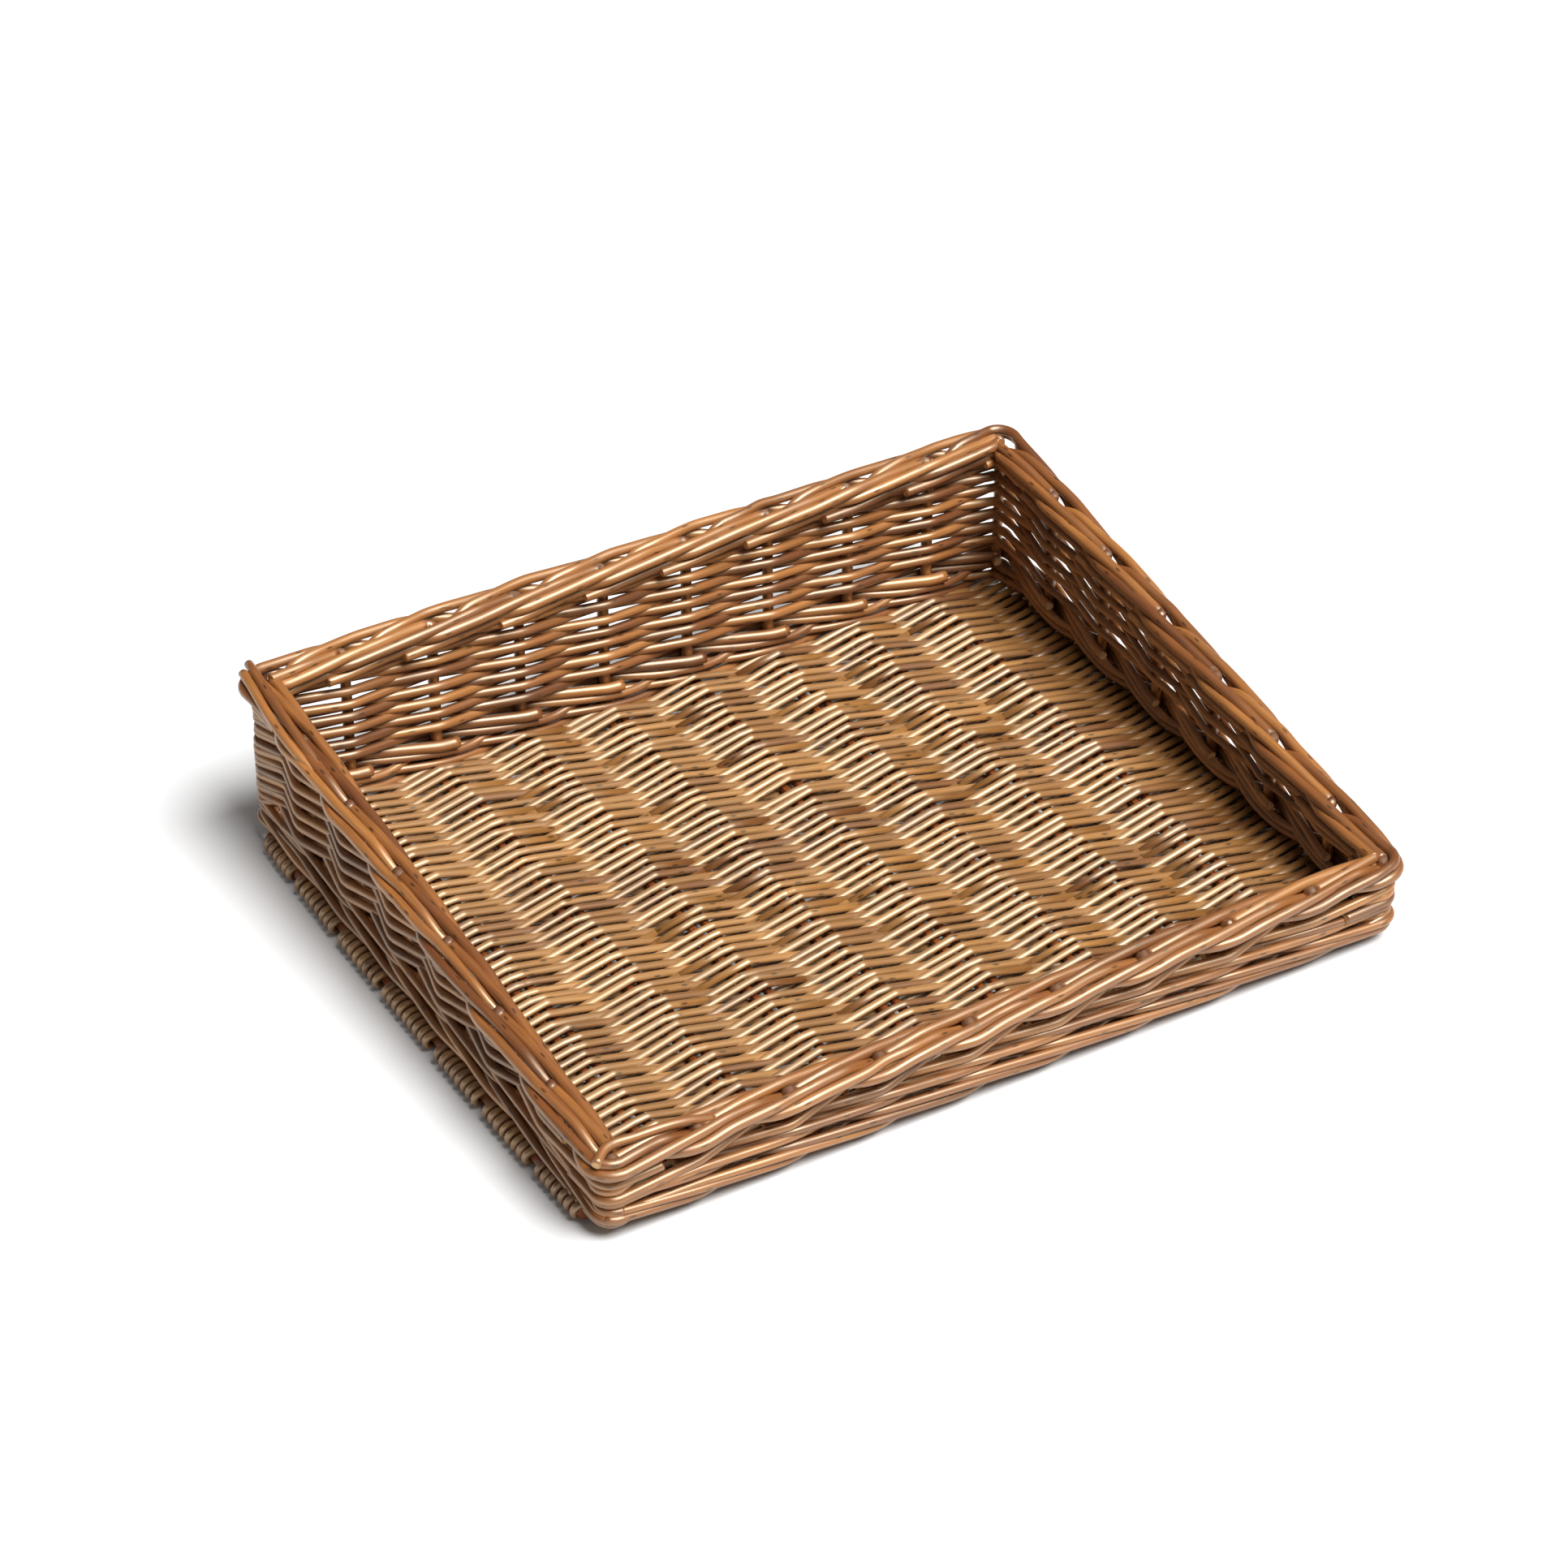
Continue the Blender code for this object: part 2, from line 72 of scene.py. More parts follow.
stick_xs = [(n - (STICK_PAIRS - 1) / 2) * STAKE_SPACING for n in range(STICK_PAIRS)]
side_ys = [(n - (SIDE_STAKES - 1) / 2) * SIDE_SPACING for n in range(SIDE_STAKES)]
print(len(stick_xs), "pairs of sticks and", len(side_ys), "stakes on each side")


# %% The line of the stakes
def stake_line():
    """Points and outward directions along the stakes, from the front left corner to the right."""
    quarter = np.radians(np.linspace(0, 90, 19))
    points, outs = [], []
    corners = ((-1, -1, 180), (1, -1, 270), (1, 1, 0), (-1, 1, 90), (-1, -1, 180))
    for number, (side, front, start) in enumerate(corners):
        # The line starts and ends in the middle of the front left corner.
        sweep = quarter[9:] if number == 0 else quarter[:10] if number == 4 else quarter
        for angle in math.radians(start) + sweep:
            out = np.array([math.cos(angle), math.sin(angle)])
            centre = np.array([side * (WALL_X - CORNER_RADIUS), front * (WALL_Y - CORNER_RADIUS)])
            points.append(centre + CORNER_RADIUS * out)
            outs.append(out)
    points, outs = np.array(points), np.array(outs)
    lengths = np.linalg.norm(np.diff(points, axis=0), axis=1)
    return points, outs, np.concatenate([[0], np.cumsum(lengths)])


rim_points, rim_outs, rim_distances = stake_line()
RIM_LENGTH = rim_distances[-1]
HALF_CORNER = CORNER_RADIUS * math.pi / 4
print("the line of the stakes is", round(RIM_LENGTH, 3), "m round")


# %% Stand the uprights on the line
def set_out_stations():
    """The uprights in the order of weaving, as name and distance round the rim."""
    found, start = [], 0
    walls = (
        ("front", stick_xs, 0, WALL_X, "corner_post_front_left"),
        ("right", side_ys, SIDE_STAKE_SHIFT, WALL_Y, "corner_post_front_right"),
        ("back", stick_xs, 0, WALL_X, "corner_post_back_right"),
        ("left", side_ys, SIDE_STAKE_SHIFT, WALL_Y, "corner_post_back_left"),
    )
    for wall, places, shift, half, corner in walls:
        straight = 2 * (half - CORNER_RADIUS)
        middle = start + HALF_CORNER + straight / 2
        found.append((corner, start))
        for number, place in enumerate(places):
            found.append((f"stake_{wall}_{number + 1}", middle + place + shift))
        start += straight + 2 * HALF_CORNER
    return found


stations = set_out_stations()
COUNT = len(stations)
corner_stations = [n for n, (name, _) in enumerate(stations) if name.startswith("corner")]
BACK_RIGHT = corner_stations[2]
corner_distances = np.array([stations[n][1] for n in corner_stations] + [RIM_LENGTH])
print(COUNT, "uprights, with corners at", corner_distances.round(3))


# %% From the rim to the world
CORNER_REACH = 5 * MM  # how far from its middle a corner still bends the rods
CORNER_DEPTH = 5 * MM  # how far inside the line a rod can lie at a corner
CLOSEST_RINGS = 0.6 * MM


def station_distance(number):
    return stations[number % COUNT][1] + RIM_LENGTH * (number // COUNT)


def on_plan(distance, out):
    """World x and y of places given by their distance round the rim and how far out they are."""
    distance = np.asarray(distance) % RIM_LENGTH
    from_corner = np.abs(distance[..., None] - corner_distances).min(axis=-1)
    inner_limit = -CORNER_DEPTH - np.maximum(0, from_corner - CORNER_REACH) * 0.7
    out = np.maximum(np.broadcast_to(out, distance.shape), inner_limit)
    x, y = (np.interp(distance, rim_distances, rim_points[:, axis]) for axis in (0, 1))
    out_x, out_y = (np.interp(distance, rim_distances, rim_outs[:, axis]) for axis in (0, 1))
    return x + out_x * out, y + out_y * out


def ring_places(first, last, step):
    """Distances round the rim for the rings of a rod, closer together at the corners."""
    close = (corner_distances[:4, None] + np.linspace(-CORNER_REACH, CORNER_REACH, 11)).ravel()
    close = (close + RIM_LENGTH * np.arange(-1, 3)[:, None]).ravel()
    far = np.arange(first, last, step)
    far = far[np.abs(far[:, None] - close).min(axis=1) > CLOSEST_RINGS]
    inside = close[(close > first) & (close < last)]
    return np.unique(np.concatenate([[first], far, inside, [last]]))


def rim_height(y):
    return FRONT_RIM + (BACK_RIM - FRONT_RIM) * (np.asarray(y) + WALL_Y) / (2 * WALL_Y)


print("10 mm outside the front left corner:", [round(float(c), 4) for c in on_plan(0.0, 10 * MM)])

# %% [markdown]
# ## One rod
#
# A willow rod is round, thicker at its butt than at its tip, and slightly uneven where its
# buds were. A primitive bent by hand would take hundreds of steps, and a curve with a round
# bevel would give the tube, but neither a pattern that runs along each rod nor a colour of its
# own. So each rod is a ring of points carried along its path. The ring keeps its turn from one
# point to the next, which stops it from twisting.
#
# Many rods are gathered in a bundle, and a bundle becomes one piece. Every rod gets a UV map in
# metres, along and round it, and a number called tint. The map starts at another length on each
# rod, so no two rods show the same grain. The two flat ends have a material slot of their own.


# %% Carry a ring without twist
def carried_sides(path, hint):
    """A direction across the path at each point, near the hint and without twist."""
    along = np.gradient(path, axis=0)
    along /= np.linalg.norm(along, axis=1)[:, None]
    side, sides = np.array(hint, float), []
    for direction in along:
        side = side - direction * (side @ direction)
        side /= np.linalg.norm(side)
        sides.append(side)
    return along, np.array(sides)


# %% Add a rod to a bundle
SIDES = 10
GRAIN_STARTS = 50  # metres of grain that the rods start in


def new_bundle():
    return {"points": [], "faces": [], "uvs": [], "tints": [], "slots": [], "count": 0}


def ring_points(path, radius, hint, width, turn):
    """The points of all rings. A width above 1 makes them flatter, across the hint."""
    along, up = carried_sides(path, hint)
    across = np.cross(along, up)
    ring = np.cos(turn)[None, :, None] * up[:, None, :]
    ring = ring + width * np.sin(turn)[None, :, None] * across[:, None, :]
    return path[:, None, :] + radius[:, None, None] * ring


def add_rod(bundle, path, radius, tint, hint=(0, 0, 1), width=1.0, sides=SIDES):
    """One closed rod along a path, with faces that point outwards."""
    path = np.asarray(path, float)
    radius = np.broadcast_to(radius, len(path))
    turn = np.arange(sides) / sides * 2 * math.pi + math.pi
    first = bundle["count"]
    bundle["points"].append(ring_points(path, radius, hint, width, turn).reshape(-1, 3))
    bundle["tints"].append(np.repeat(np.broadcast_to(tint, len(path)), sides))
    bundle["count"] += len(path) * sides

    step, place = np.meshgrid(np.arange(len(path) - 1), np.arange(sides), indexing="ij")
    step, place = step.ravel(), place.ravel()
    after = (place + 1) % sides
    quads = np.stack([step * sides + place, step * sides + after,
                      (step + 1) * sides + after, (step + 1) * sides + place], axis=1) + first
    bundle["faces"] += quads.tolist()
    steps = np.linalg.norm(np.diff(path, axis=0), axis=1)
    length = np.concatenate([[0], np.cumsum(steps)]) + chance.uniform(0, GRAIN_STARTS)
    round_it = radius.mean() * 2 * math.pi / sides
    corners = np.stack([
        np.stack([length[step], place * round_it], axis=1),
        np.stack([length[step], (place + 1) * round_it], axis=1),
        np.stack([length[step + 1], (place + 1) * round_it], axis=1),
        np.stack([length[step + 1], place * round_it], axis=1)], axis=1)
    bundle["uvs"].append(corners.reshape(-1, 2))
    bundle["slots"] += [0] * len(quads)

    last = first + (len(path) - 1) * sides
    bundle["faces"] += [list(range(first + sides - 1, first - 1, -1)), list(range(last, last + sides))]
    ends = np.stack([np.cos(turn), np.sin(turn)], axis=1) * radius.mean()
    bundle["uvs"] += [ends[::-1], ends]
    bundle["slots"] += [1, 1]


# %% Make a piece of a bundle
def make_piece(name, bundle, materials, slot, *nodes):
    """Turns a bundle of rods into one piece that stands for CAD nodes."""
    mesh = bpy.data.meshes.new(name)
    mesh.from_pydata(np.concatenate(bundle["points"]), [], bundle["faces"])
    layer = mesh.uv_layers.new(name="rod")
    layer.data.foreach_set("uv", np.concatenate(bundle["uvs"]).astype(np.float32).ravel())
    tint = mesh.attributes.new("tint", "FLOAT", "POINT")
    tint.data.foreach_set("value", np.concatenate(bundle["tints"]).astype(np.float32))
    slots = np.array(bundle["slots"], np.int32)
    mesh.polygons.foreach_set("material_index", slots)
    mesh.polygons.foreach_set("use_smooth", slots == 0)
    for material in materials:
        mesh.materials.append(material)
    mesh.update()
    piece = bpy.data.objects.new(name, mesh)
    bpy.context.scene.collection.objects.link(piece)
    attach(piece, "root")
    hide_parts(*nodes)
    print(name, len(mesh.polygons), "faces")


# %% [markdown]
# ## Willow
#
# Buff willow is boiled in its bark and then stripped, which stains the wood from honey to
# red brown. Fine darker fibres run along it, and small dark scars show where its buds were.
# All three patterns follow the rod, so they read its UV map, and their scales are real sizes.
#
# The stripped rod is smooth with a waxy shine, and a thin clear coat stands for that wax. Its
# fibres spread the shine along the rod, which gives a long bright streak on each straight run
# that faces the light, and the streak breaks off where the rod kinks. That contrast is what
# makes the weave read. So the shine is anisotropic, with its tangent along the rod. At a very
# sharp bend the skin is creased and dull.


# %% Colours and nodes
def linear(code):
    """An sRGB hex colour as the linear numbers that Blender works with."""
    parts = [int(code[at:at + 2], 16) / 255 for at in (1, 3, 5)]
    return tuple(c / 12.92 if c <= 0.04045 else ((c + 0.055) / 1.055) ** 2.4 for c in parts) + (1,)


def add_node(tree, kind, settings=None, inputs=None):
    """Adds one node. An input is a value, or the socket that feeds it."""
    node = tree.nodes.new(kind)
    for name, value in (settings or {}).items():
        setattr(node, name, value)
    for name, value in (inputs or {}).items():
        if isinstance(value, bpy.types.NodeSocket):
            tree.links.new(value, node.inputs[name])
        else:
            node.inputs[name].default_value = value
    return node


def set_ramp(node, stops):
    ramp = node.color_ramp
    while len(ramp.elements) > len(stops):
        ramp.elements.remove(ramp.elements[-1])
    while len(ramp.elements) < len(stops):
        ramp.elements.new(1)
    for element, (place, colour) in zip(ramp.elements, stops):
        element.position = place
        element.color = colour


def new_material(name, **settings):
    """A material with its tree and its main shader, whose plain inputs are set."""
    material = bpy.data.materials.new(name)
    material.use_nodes = True
    shader = material.node_tree.nodes["Principled BSDF"]
    for setting, value in settings.items():
        shader.inputs[setting.replace("_", " ")].default_value = value
    return material, material.node_tree, shader


print("honey willow is", [round(c, 3) for c in linear("#a8753e")], "as linear numbers")

# %% Patterns along a rod
FIBRE_LENGTH, FIBRE_WIDTH = 30.3 * MM, 0.8 * MM  # as fine as the render shows
STAIN_LENGTH, STAIN_WIDTH = 25 * MM, 6.25 * MM
BUD_SPACING, BUD_WIDTH = 26.3158 * MM, 7.69 * MM  # one scar in each cell of this size
SCAR_EDGE = (0.05, 0.11)  # of a cell, so a scar is about 4 mm long


def along_rod(tree, uv, length, width):
    """The rod's UV map at the scale of a pattern of this real size."""
    mapping = add_node(tree, "ShaderNodeMapping", {}, {"Vector": uv, "Scale": (1 / length, 1 / width, 1)})
    return mapping.outputs["Vector"]


def rod_patterns(tree):
    """Fibres, patches of stain, bud scars and the rod's own tint, each as a socket."""
    uv = add_node(tree, "ShaderNodeUVMap", {"uv_map": "rod"}).outputs["UV"]
    tint = add_node(tree, "ShaderNodeAttribute", {"attribute_name": "tint"})
    fibres = add_node(tree, "ShaderNodeTexNoise", {"noise_dimensions": "2D"}, {
        "Vector": along_rod(tree, uv, FIBRE_LENGTH, FIBRE_WIDTH), "Scale": 1.0, "Detail": 3.0})
    patches = add_node(tree, "ShaderNodeTexNoise", {"noise_dimensions": "2D"}, {
        "Vector": along_rod(tree, uv, STAIN_LENGTH, STAIN_WIDTH), "Scale": 1.0, "Detail": 2.0})
    cells = add_node(tree, "ShaderNodeTexVoronoi", {"voronoi_dimensions": "2D"}, {
        "Vector": along_rod(tree, uv, BUD_SPACING, BUD_WIDTH), "Scale": 1.0})
    scars = add_node(tree, "ShaderNodeMapRange", {}, {
        "Value": cells.outputs["Distance"], "From Min": SCAR_EDGE[0], "From Max": SCAR_EDGE[1],
        "To Min": 0.3, "To Max": 1.0})
    return fibres.outputs["Fac"], patches.outputs["Fac"], scars.outputs[0], tint.outputs["Fac"]


# %% Buff willow
def willow_colour(tree, patterns, honey, tan, red):
    """The stain goes from honey to red with the rod's tint, and fibres and scars darken it."""
    fibres, patches, scars, tint = patterns
    stain = add_node(tree, "ShaderNodeMath", {"operation": "MULTIPLY_ADD"}, {0: patches, 1: 0.5, 2: tint})
    stain = add_node(tree, "ShaderNodeMath", {"operation": "ADD"}, {0: stain.outputs[0], 1: -0.25})
    colours = add_node(tree, "ShaderNodeValToRGB", {}, {"Fac": stain.outputs[0]})
    set_ramp(colours, [(0.1, linear(honey)), (0.5, linear(tan)), (1.0, linear(red))])
    lines = add_node(tree, "ShaderNodeMapRange", {}, {
        "Value": fibres, "From Min": 0.35, "From Max": 0.7, "To Min": 1.08, "To Max": 0.75})
    shade = add_node(tree, "ShaderNodeMath", {"operation": "MULTIPLY"}, {0: lines.outputs[0], 1: scars})
    wood = add_node(tree, "ShaderNodeVectorMath", {"operation": "SCALE"},
                    {0: colours.outputs["Color"], "Scale": shade.outputs[0]})
    return wood.outputs[0]


def willow_shine(tree, patterns, roughness):
    """Roughness and wax. A tint above 0.9 marks a sharp bend, which is rough and has no wax."""
    _, patches, _, tint = patterns
    polish = add_node(tree, "ShaderNodeMapRange", {}, {
        "Value": patches, "From Min": 0.3, "From Max": 0.7,
        "To Min": roughness - 0.05, "To Max": roughness + 0.08})
    crease = add_node(tree, "ShaderNodeMapRange", {}, {"Value": tint, "From Min": 0.9, "From Max": 1.2})
    dull = add_node(tree, "ShaderNodeMath", {"operation": "MULTIPLY_ADD"},
                    {0: crease.outputs[0], 1: 0.4, 2: polish.outputs[0]})
    wax = add_node(tree, "ShaderNodeMapRange", {}, {
        "Value": crease.outputs[0], "To Min": 0.25, "To Max": 0.0})
    return dull.outputs[0], wax.outputs[0]


def buff_willow(name, honey, tan, red, shine, roughness, spread, ior):
    """Stripped buff willow: colours of a light, a usual and a red rod, and its kind of shine."""
    material, tree, shader = new_material(
        name, IOR=ior, Specular_IOR_Level=1.0, Specular_Tint=linear(shine), Anisotropic=spread,
        Anisotropic_Rotation=0.25, Coat_Roughness=0.25, Coat_IOR=1.5)
    patterns = rod_patterns(tree)
    fibres, _, scars, _ = patterns
    dull, wax = willow_shine(tree, patterns, roughness)
    lengthwise = add_node(tree, "ShaderNodeTangent", {"direction_type": "UV_MAP", "uv_map": "rod"})
    height = add_node(tree, "ShaderNodeMath", {"operation": "MULTIPLY"}, {0: fibres, 1: scars})
    bump = add_node(tree, "ShaderNodeBump", {}, {
        "Height": height.outputs[0], "Strength": 0.35, "Distance": 0.15 * MM})
    tree.links.new(willow_colour(tree, patterns, honey, tan, red), shader.inputs["Base Color"])
    tree.links.new(dull, shader.inputs["Roughness"])
    tree.links.new(wax, shader.inputs["Coat Weight"])
    tree.links.new(lengthwise.outputs["Tangent"], shader.inputs["Tangent"])
    tree.links.new(bump.outputs["Normal"], shader.inputs["Normal"])
    return material


base_willow = buff_willow("buff willow of the base", "#a8753e", "#8e5f2e", "#6d3b19",
                          "#fff2d2", 0.44, 0.6, 1.8)
wall_willow = buff_willow("buff willow of the walls", "#a66b35", "#875026", "#5d2d13",
                          "#ffecca", 0.40, 0.4, 1.72)
print("mixed", base_willow.name, "and", wall_willow.name)

# %% [markdown]
# ## Cut ends
#
# Where a rod ends, its cut shows pale wood round a small dark pith, with a ring of bark stain
# outside. The UV map of an end is its own flat circle in metres, so the distance from the
# middle of that map gives the rings.

# %% Cut ends of the rods
CUT_RADIUS = 3.03 * MM  # where the ring of bark stain is darkest


def cut_willow():
    material, tree, shader = new_material("cut willow end", Roughness=0.7)
    uv = add_node(tree, "ShaderNodeUVMap", {"uv_map": "rod"}).outputs["UV"]
    out = add_node(tree, "ShaderNodeVectorMath", {"operation": "LENGTH"}, {0: uv})
    share = add_node(tree, "ShaderNodeMath", {"operation": "DIVIDE"},
                     {0: out.outputs["Value"], 1: CUT_RADIUS})
    colours = add_node(tree, "ShaderNodeValToRGB", {}, {"Fac": share.outputs[0]})
    set_ramp(colours, [(0.0, linear("#6b4020")), (0.12, linear("#dcb884")), (0.75, linear("#cf9f66")),
                       (1.0, linear("#7c4a22"))])
    tree.links.new(colours.outputs["Color"], shader.inputs["Base Color"])
    return material


cut_end = cut_willow()
print("mixed", cut_end.name)

# %% [markdown]
# ## How a rod bends
#
# Damp willow kinks where it is pressed over a stick and stays straight between two of them. So
# a rod's path is straight runs from knot to knot, and each bend is spread over a few
# millimetres. A springy curve through the same knots would look like wire. Rods also differ:
# most are about the same tan, and now and then one is much redder.


# %% Bends, unevenness and tint
def bent_through(knots, values, at, softness):
    """Straight runs from knot to knot, with each bend spread over a few millimetres."""
    reach = np.linspace(-2, 2, 9)
    weights = np.exp(-reach**2 / 2)
    weights /= weights.sum()
    return np.interp(np.asarray(at)[:, None] + reach * softness, knots, values) @ weights


def uneven(count, size, reach=6):
    """Slow random unevenness along a rod, up to this size."""
    rough = chance.normal(0, 1, count + 2 * reach)
    soft = np.convolve(rough, np.hanning(2 * reach + 1), mode="valid")
    return soft / max(1e-9, np.abs(soft).max()) * size


def rod_tint():
    """From 0, honey, to 0.9, red."""
    return float(np.clip(chance.normal(0.40, 0.19), 0, 0.8) if chance.random() > 0.05 else 0.88)


print("half way up a rise of 10 mm:", bent_through([0, 0.02], [0, 10 * MM], [0.01], 1 * MM).round(4))

# %% [markdown]
# ## The woven base
#
# The base is woven before the walls. Its warp is eight pairs of sticks, which run from front
# to back. A row passes over one pair and under the next, and the row beside it does the
# opposite. Over a pair a rod takes one sharp bend, or two with a flat run between them, and no
# two bends lie quite in line. The rods press on each other, so each is flatter than round, and
# each row is two rods that meet past one of the sticks.

# %% Bends of a row of the base
ROW_PITCH = 3.85 * MM
BASE_ROWS = 102
BASE_ROD = 1.84 * MM
FLATTENED = 1.32  # width of a base rod, as a share of its height
HALF_PAIR = 4.4 * MM
ROW_END_LEVEL = 4.4 * MM  # above or below the sticks, where a row meets its edge loop
CREST = 4.95 * MM  # at the two bends of a flat run
PEAK = 6.2 * MM  # at a single sharp bend
SINGLE_BENDS = 0.55  # share of the bends that are single
LAST_ROW_Y = 192.3 * MM
EDGE_X = 249.9 * MM
EDGE_BULGE = 2.9 * MM
EDGE_HALF_LENGTH = 186 * MM
ROW_INSIDE_EDGE = 8 * MM
BASE_BEND = 0.9 * MM
BEND_RINGS = np.array([-4.5, -2.2, -1.1, -0.3, 0.3, 1.1, 2.2, 4.5]) * MM
ROW_SWAY = 0.5  # to the front or back at each stick, in millimetres
ROW_SWAY_BEND = 6 * MM
SPLICE = 12 * MM  # past a stick, where the second rod of a row takes over


def edge_line(y):
    """How far out the wrapped edge lies. It bulges a little between the corners."""
    return EDGE_X + EDGE_BULGE * (1 - (y / EDGE_HALF_LENGTH) ** 2)


def row_bends(number, end):
    """The knots of one row: where it bends over and under the sticks, and how high."""
    starts_above = 1 if number % 2 else -1
    xs, zs = [-end], [starts_above * ROW_END_LEVEL]
    for stick, x in enumerate(stick_xs):
        side = 1 if (stick + number) % 2 == 0 else -1
        lift = abs(chance.normal(0, 0.5)) * MM
        if chance.random() < SINGLE_BENDS:
            xs.append(x + chance.normal(0.5, 2.0) * MM)
            zs.append(side * (PEAK + lift))
        else:
            wide = HALF_PAIR * chance.uniform(0.7, 1.1)
            tip = chance.uniform(-0.5, 0.5) * MM
            xs += [x - wide, x + wide]
            zs += [side * (CREST + lift - tip), side * (CREST + lift + tip)]
    xs.append(end)
    zs.append(-starts_above * ROW_END_LEVEL)
    return np.array(xs), np.array(zs)


def base_row(number):
    """The path of one row of the base, with rings close together at its bends."""
    y = np.clip((number - (BASE_ROWS - 1) / 2) * ROW_PITCH, -LAST_ROW_Y, LAST_ROW_Y)
    end = edge_line(y) - ROW_INSIDE_EDGE
    xs, zs = row_bends(number, end)
    middles = (xs[:-1] + xs[1:]) / 2
    stops = np.concatenate([[-end, end], (xs[1:-1, None] + BEND_RINGS).ravel(), middles])
    stops = np.unique(np.round(stops[np.abs(stops) <= end], 4))
    knots = np.array([-end, *stick_xs, end])
    sway = bent_through(knots, chance.normal(0, ROW_SWAY, len(knots)) * MM, stops, ROW_SWAY_BEND)
    height = STICK_LEVEL + bent_through(xs, zs, stops, BASE_BEND)
    height = np.maximum(height, BASE_ROD * 1.1)  # a rod can't sink into the table
    return np.stack([stops, y + sway, height], axis=1)


# %% Weave the base
BASE_PIECES = 4  # the rows are shared out over this many pieces; so that each piece stays small enough for its STL file

for part in range(BASE_PIECES):
    rows = new_bundle()
    for number in range(part, BASE_ROWS, BASE_PIECES):
        path = base_row(number)
        thickness = BASE_ROD * np.clip(chance.normal(1, 0.06), 0.85, 1.1)
        radius = thickness * (1 + uneven(len(path), 0.04))
        joint = np.searchsorted(path[:, 0], stick_xs[chance.integers(1, 7)] + SPLICE)
        for rod in (slice(0, joint + 1), slice(joint, None)):
            add_rod(rows, path[rod], radius[rod], rod_tint(), width=FLATTENED)
    make_piece(f"base_rows_{part + 1}", rows, (base_willow, cut_end), "base_rods", "base_weave")

# %% [markdown]
# ## The wrapped edges of the base
#
# At each side of the base the rods turn round a stout edge stick. From outside this is a row
# of short loops that lean all one way. They leave a gap where a side stake stands just inside
# the stick. Each loop is half a ring with two straight ends, which reach in between the rows.

# %% Wrap the edge sticks
LOOP_PITCH = 6.05 * MM
LOOP_ROD = 2.1 * MM
LOOP_RADIUS = 5.25 * MM
LOOP_LEAN = 3.2 * MM  # of each end, towards the front or the back
LOOP_ENDS = ((10 * MM, 4.2 * MM), (4 * MM, 5.2 * MM))  # inwards from the edge, and up or down
FIRST_LOOP, LAST_LOOP = -180 * MM, 183 * MM
STAKE_ROOM = 3.6 * MM


def edge_loop(side, y):
    edge = edge_line(y)
    angles = np.radians(np.linspace(90, -90, 13))
    (tip_in, tip_up), (start_in, start_up) = LOOP_ENDS
    x = edge + LOOP_RADIUS * np.cos(angles)
    z = LOOP_RADIUS * np.sin(angles)
    x = np.concatenate([[edge - tip_in, edge - start_in], x, [edge - start_in, edge - tip_in]])
    z = np.concatenate([[tip_up, start_up], z, [-start_up, -tip_up]])
    lean = np.linspace(-LOOP_LEAN, LOOP_LEAN, len(x)) * -side + chance.normal(0, 0.3) * MM
    return np.stack([side * x, y + lean, STICK_LEVEL + z], axis=1)


for side, wall in ((-1, "left"), (1, "right")):
    loops = new_bundle()
    feet = np.array(side_ys) + side * SIDE_STAKE_SHIFT
    y = FIRST_LOOP
    while y < LAST_LOOP:
        if np.abs(feet - y).min() > STAKE_ROOM:
            width = chance.uniform(1.0, 1.2)
            # The loops take only the darker, redder tints, from 0.45 to 0.9. They are the same willow as
            # the rows, so the red is willow and the extra darkness is painted shade, like the shade on
            # the basket's left side.
            add_rod(loops, edge_loop(side, y), LOOP_ROD * chance.uniform(0.85, 1.02),
                    chance.uniform(0.45, 0.9), hint=(side, 0, 0.3), width=width, sides=8)
        y += LOOP_PITCH * chance.uniform(0.94, 1.06)
    make_piece(f"edge_loops_{wall}", loops, (base_willow, cut_end), "base_rods", "base_weave")
    print(len(loops["tints"]), "loops on the", wall)

# %% [markdown]
# ## The wale
#
# The wale is the rope-like band at the foot of the walls, in two rounds. The lower round is
# worked with four rods. Each passes in front of three stakes and behind the next, and sinks a
# little from stake to stake. The upper round has three rods and takes two stakes at a time.
# At the front and the back the lower round covers the ends of the sticks. At the sides both
# rounds lie on the wrapped edge, so they climb as they go round each corner.

# %% Path of a wale rod
WALE_ROD = 2.4 * MM
# Where a rod lies at its successive stakes, as millimetres out from the line of the stakes and
# up from the table: first at the front and the back, then at the sides.
LOWER_ROUND = (((-5.8, 14.2), (5.4, 16.8), (7.2, 13.3), (5.6, 7.9)),
               ((-5.6, 18.4), (6.4, 22.3), (9.5, 18.8), (5.2, 18.2)))
UPPER_ROUND = (((-5.6, 20.6), (5.6, 26.6), (5.8, 22.2)),
               ((-5.6, 22.9), (5.4, 29.2), (5.6, 25.2)))
# A rod that goes behind a stake stays inside for a while before and past it: millimetres along
# the rim, outwards and up from its place at the stake.
AT_A_STAKE = (0, 0, 0)
BEHIND_A_STAKE = ((-18, 1.6, -3.2), AT_A_STAKE, (18, 1.6, 2.0))
OUTSIDE_CORNER = 5.0  # millimetres out, where a rod may not pass behind the corner post
WALE_OVERLAP = 5 * MM  # how far a rod runs past its own start
WALE_STEP, WALE_BEND_OUT, WALE_BEND_UP = 3 * MM, 8 * MM, 7 * MM


def is_side(number):
    return stations[number % COUNT][0].startswith(("stake_left", "stake_right"))


